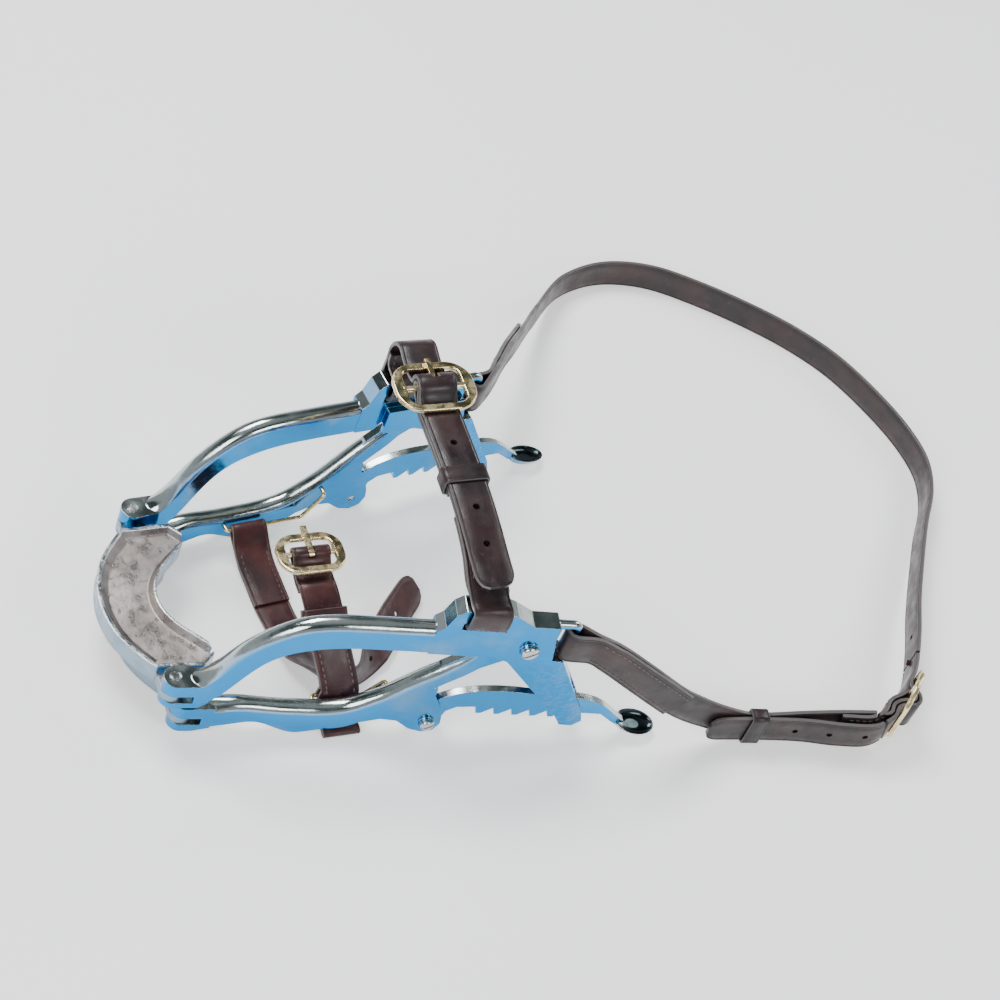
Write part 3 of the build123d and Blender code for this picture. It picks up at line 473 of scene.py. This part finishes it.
def mesh_object(name, vertices, faces, material, attribute=None, smooth=True):
    mesh = bpy.data.meshes.new(name)
    mesh.from_pydata([tuple(v * MM) for v in vertices], [], faces)
    if attribute:
        layer = mesh.attributes.new("strap", "FLOAT_VECTOR", "POINT")
        for index, value in enumerate(attribute):
            layer.data[index].vector = value
    if smooth:
        mesh.shade_smooth()
    mesh.materials.append(material)
    obj = bpy.data.objects.new(name, mesh)
    bpy.context.collection.objects.link(obj)
    return obj


def fix_normals(obj):
    work = bmesh.new()
    work.from_mesh(obj.data)
    bmesh.ops.recalc_face_normals(work, faces=work.faces)
    work.to_mesh(obj.data)
    work.free()


def cut(obj, cutters):
    """Subtract the cutters from obj and keep the result as its mesh."""
    for cutter in cutters:
        fix_normals(cutter)
        modifier = obj.modifiers.new("cut", "BOOLEAN")
        modifier.operation, modifier.solver, modifier.object = "DIFFERENCE", "EXACT", cutter
    result = bpy.data.meshes.new_from_object(obj.evaluated_get(bpy.context.evaluated_depsgraph_get()))
    obj.modifiers.clear()
    obj.data = result
    for cutter in cutters:
        bpy.data.objects.remove(cutter)


def punch(place, radius, sides=20):
    """Cylinder through a strap at a frame of its path."""
    spot, across, normal, run, _ = place
    step = 2 * math.pi / sides
    ring = [across * radius * math.cos(step * i) + run * radius * math.sin(step * i) for i in range(sides)]
    vertices = [spot + normal * PUNCH_REACH + r for r in ring]
    vertices += [spot - normal * PUNCH_REACH + r for r in ring]
    faces = [tuple(range(sides)), tuple(range(2 * sides - 1, sides - 1, -1))]
    faces += [(i, (i + 1) % sides, sides + (i + 1) % sides, sides + i) for i in range(sides)]
    return mesh_object("punch", vertices, faces, HARNESS, smooth=False)


def slit_box(buckle, low, high, half=2.5):
    origin, bar, along, out = buckle
    vertices = [origin + bar * w + along * a + out * b for w in (-half, half) for a in (low[0], high[0])
                for b in (low[1], high[1])]
    faces = [(0, 1, 3, 2), (4, 6, 7, 5), (0, 4, 5, 1), (2, 3, 7, 6), (0, 2, 6, 4), (1, 5, 7, 3)]
    return mesh_object("slit", vertices, faces, HARNESS, smooth=False)


def capsule(vertices, faces, middle, along, side, up, length, radius):
    """A stitch: a short thread standing half out of the leather, its ends dipping in."""
    rings = [(-0.5, 0.15, -0.5), (-0.36, 0.85, -0.1), (0.0, 1.0, 0.1), (0.36, 0.85, -0.1), (0.5, 0.15, -0.5)]
    start = len(vertices)
    for shift, scale, lift in rings:
        for corner in range(6):
            turn = math.pi * corner / 3
            vertices.append(middle + along * shift * length + up * radius * lift
                            + side * radius * scale * math.cos(turn) + up * radius * scale * math.sin(turn))
    for ring in range(4):
        for corner in range(6):
            a, b = start + ring * 6 + corner, start + ring * 6 + (corner + 1) % 6
            faces.append((a, b, b + 6, a + 6))
    faces.append(tuple(start + i for i in range(5, -1, -1)))
    faces.append(tuple(start + 24 + i for i in range(6)))


def build_strap(name, stations, thick, body, material, tips=(), holes=(), seams=(), slit=None):
    """One leather strap. tips: ends cut to a tongue. seams: (first station, last station, face) stitched."""
    samples, marks = smooth_path(stations, SAMPLE_STEP)
    frames = frames_along(samples)
    total = frames[-1][4]
    half, deep = WIDTH / 2, thick / 2
    profile = strap_profile(half, deep)
    vertices, faces, attribute = [], [], []
    for spot, across, normal, run, travelled in frames:
        narrow = 1.0
        for tip in tips:
            reach = total - travelled if tip == "end" else travelled
            if reach < TONGUE:
                curve = math.sqrt(max(0.0, 1 - ((TONGUE - reach) / TONGUE) ** 2))
                narrow = TONGUE_END + (1 - TONGUE_END) * curve
        for u, v in profile:
            vertices.append(spot + across * u * narrow + normal * v)
            attribute.append((travelled * MM, u / half, v / deep))
    size = len(profile)
    for row in range(len(frames) - 1):
        for i in range(size):
            a, b = row * size + i, row * size + (i + 1) % size
            faces.append((a, b, b + size, a + size))
    faces.append(tuple(range(size - 1, -1, -1)))
    faces.append(tuple(range(len(vertices) - size, len(vertices))))
    strap = mesh_object(name, vertices, faces, material, attribute)
    fix_normals(strap)
    cutters = []
    for distance, radius in holes:
        place = min(frames, key=lambda f: abs(f[4] - (total - distance)))
        cutters.append(punch(place, radius))
    if slit:
        cutters.append(slit_box(*slit))
    if cutters:
        cut(strap, cutters)
        strap.data.shade_smooth()
    sharp = strap.modifiers.new("edges", "EDGE_SPLIT")
    sharp.split_angle = SHARP_ANGLE
    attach(strap, body)
    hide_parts(name.replace("_leather", ""))
    if seams:
        add_seams(name.replace("_leather", "_stitching"), frames, marks, seams, half, deep, body)
    return frames, marks


def add_seams(name, frames, marks, seams, half, deep, body):
    vertices, faces = [], []
    for first, last, face in seams:
        start, end = sorted((marks[first], marks[last]))
        count = int((end - start) / STITCH_PITCH)
        for number in range(count):
            distance = start + STITCH_PITCH / 2 + number * STITCH_PITCH
            place = min(frames, key=lambda f: abs(f[4] - distance))
            spot, across, normal, run, travelled = place
            spot = spot + run * (distance - travelled)
            for edge in (-1, 1):
                middle = spot + across * edge * (half - STITCH_INSET) + normal * face * deep
                capsule(vertices, faces, middle, run, across, normal * face, STITCH_LENGTH, STITCH_R)
    stitches = mesh_object(name, vertices, faces, THREAD)
    fix_normals(stitches)
    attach(stitches, body)


def build_keeper(name, centre, width, along, height, body, material):
    """Closed leather loop with rounded corners and softened edges."""
    along = along.normalized()
    width = (width - along * width.dot(along)).normalized()
    up = along.cross(width).normalized()
    half_w, half_h, radius = WIDTH / 2 + KEEPER_ROOM, height / 2, KEEPER_CORNER
    ring = []
    for cx, cy, start in ((1, 1, 0), (-1, 1, 90), (-1, -1, 180), (1, -1, 270)):
        for step in range(5):
            turn = math.radians(start + 22.5 * step)
            ring.append((cx * (half_w - radius), cy * (half_h - radius), math.cos(turn), math.sin(turn)))
    profile = [(-6, 0.4), (-5.7, 0.05), (5.7, 0.05), (6, 0.4), (6, 1.4), (5.6, 1.8), (4.9, 1.8), (4.6, 1.62),
               (4.3, 1.8), (-4.3, 1.8), (-4.6, 1.62), (-4.9, 1.8), (-5.6, 1.8), (-6, 1.4)]
    vertices, faces, attribute = [], [], []
    for x, y, dx, dy in ring:
        for a, depth in profile:
            reach = radius + depth
            vertices.append(centre + along * a + width * (x + dx * reach) + up * (y + dy * reach))
            attribute.append((0, a / 6, (depth - 0.9) / 0.9))
    size = len(profile)
    for row in range(len(ring)):
        for i in range(size):
            a, b = row * size + i, row * size + (i + 1) % size
            c, d = ((row + 1) % len(ring)) * size + (i + 1) % size, ((row + 1) % len(ring)) * size + i
            faces.append((a, b, c, d))
    keeper = mesh_object(name + "_leather", vertices, faces, material, attribute)
    fix_normals(keeper)
    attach(keeper, body)
    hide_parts(name)


build_strap("poll_billet_strap_leather", poll_billet(), THICK, "upper_frame", HARNESS, tips=("end",),
            holes=[(38, 2.0), (63, 2.0), (88, 2.0), (113, 2.0), (138, 2.0), (205, 2.0), (230, 2.0)],
            seams=[(0, 3, -1), (9, 12, -1)], slit=(POLL_BUCKLE, *BILLET_SLIT))
build_strap("poll_buckle_strap_leather", poll_buckle_strap(), THICK, "upper_frame", HARNESS,
            seams=[(0, 3, 1), (9, 12, 1), (30, 34, 1), (16, 19, 1)], slit=(POLL_BUCKLE, *FIXED_SLIT))
build_strap("nose_billet_strap_leather", nose_billet(), THICK, "upper_frame", HARNESS, tips=("end",),
            holes=[(30, 2.2), (55, 2.2), (80, 2.2), (105, 2.2)], seams=[(0, 2, -1), (8, 9, -1)],
            slit=(NOSE_BUCKLE, *BILLET_SLIT))
build_strap("nose_buckle_strap_leather", nose_buckle_strap(), THICK, "upper_frame", HARNESS,
            seams=[(12, 19, 1)], slit=(NOSE_BUCKLE, *FIXED_SLIT))
build_strap("chin_billet_strap_leather", chin_billet(), CHIN_THICK, "lower_frame", CHIN_LEATHER,
            tips=("end",), holes=[(30, 2.0), (52, 2.0), (74, 2.0), (96, 2.0)], seams=[(0, 3, -1)])
build_strap("chin_buckle_strap_leather", chin_buckle_strap(), CHIN_THICK, "lower_frame", CHIN_LEATHER,
            seams=[(19, 23, 1)], slit=(CHIN_BUCKLE, *FIXED_SLIT))
build_keeper("poll_strap_keeper", table_point(386, -138.2, 16.1), UP, Vector((1, -0.18, 0)), 7.6,
             "upper_frame", HARNESS)
build_keeper("nose_strap_keeper", table_point(NOSE_X, -19, 163.2), ACROSS, Vector((0, 1, 0.03)), 10.6,
             "upper_frame", HARNESS)
build_keeper("chin_strap_keeper", table_point(101.6, -38.2, 58.1), ACROSS, Vector((0, 0.775, 0.632)), 5.6,
             "lower_frame", CHIN_LEATHER)


# ---------------------------------------------------------------------------
# Stage, light and camera
# ---------------------------------------------------------------------------
def floor():
    s = Shader("pale_floor", 0.0, 0.6, (0.9, 0.9, 0.9))
    s.put(s.bsdf.inputs["Base Color"], s.mix(s.noise(3, 4), (0.90, 0.90, 0.90), (0.93, 0.93, 0.925)))
    s.bsdf.inputs["Emission Color"].default_value = (1, 1, 1, 1)
    s.bsdf.inputs["Emission Strength"].default_value = 0.6
    s.bumps([(s.noise(400, 3), 0.05, 0.0003)])
    mesh = bpy.data.meshes.new("floor")
    mesh.from_pydata([(-6, -6, 0), (6, -6, 0), (6, 6, 0), (-6, 6, 0)], [], [(0, 1, 2, 3)])
    mesh.materials.append(s.mat)
    obj = bpy.data.objects.new("floor", mesh)
    bpy.context.collection.objects.link(obj)


def area_light(name, place, size, power, color=(1, 1, 1)):
    data = bpy.data.lights.new(name, "AREA")
    data.shape, data.size, data.size_y = "RECTANGLE", size[0], size[1]
    data.energy, data.color = power, color
    obj = bpy.data.objects.new(name, data)
    obj.location = place
    obj.rotation_euler = (Vector((0, 0, 0.05)) - Vector(place)).to_track_quat("-Z", "Y").to_euler()
    bpy.context.collection.objects.link(obj)


def camera():
    data = bpy.data.cameras.new("camera")
    data.lens, data.sensor_width = 72, 36
    right, down = Vector((0.92302, -0.30175, 0.23871)), Vector((-0.09037, -0.77308, -0.62784))
    forward = right.cross(down)
    turn = Matrix((right, -down, -forward)).transposed().to_4x4()
    obj = bpy.data.objects.new("camera", data)
    obj.matrix_world = Matrix.Translation((-0.5578, -0.7894, 1.0716)) @ turn
    bpy.context.collection.objects.link(obj)
    bpy.context.scene.camera = obj


floor()
area_light("key", (-0.5, 0.9, 1.9), (1.1, 0.8), 44)
area_light("fill", (-1.4, -0.9, 1.3), (0.9, 0.9), 19)
area_light("rim", (1.5, 0.3, 1.1), (0.4, 1.0), 10)
area_light("front", (0.5, -1.7, 1.2), (1.0, 0.5), 14)


def studio_sky():
    """A pale horizon under a darker ceiling, so level plating reads dark between the lamps."""
    world = bpy.data.worlds.new("studio")
    world.use_nodes = True
    nodes, links = world.node_tree.nodes, world.node_tree.links
    place = nodes.new("ShaderNodeTexCoord")
    parts = nodes.new("ShaderNodeSeparateXYZ")
    ramp = nodes.new("ShaderNodeValToRGB")
    links.new(place.outputs["Generated"], parts.inputs[0])
    links.new(parts.outputs[2], ramp.inputs[0])
    stops = ramp.color_ramp.elements
    stops[0].position, stops[0].color = 0.0, (0.92, 0.95, 0.98, 1)
    stops[1].position, stops[1].color = 0.34, (0.80, 0.86, 0.92, 1)
    ceiling = ((0.50, (0.10, 0.14, 0.14, 1)), (0.80, (0.12, 0.16, 0.16, 1)), (1.0, (0.8, 0.84, 0.88, 1)))
    for position, color in ceiling:
        stops.new(position).color = color
    links.new(ramp.outputs[0], nodes["Background"].inputs["Color"])
    nodes["Background"].inputs["Strength"].default_value = 0.55
    bpy.context.scene.world = world


studio_sky()
camera()
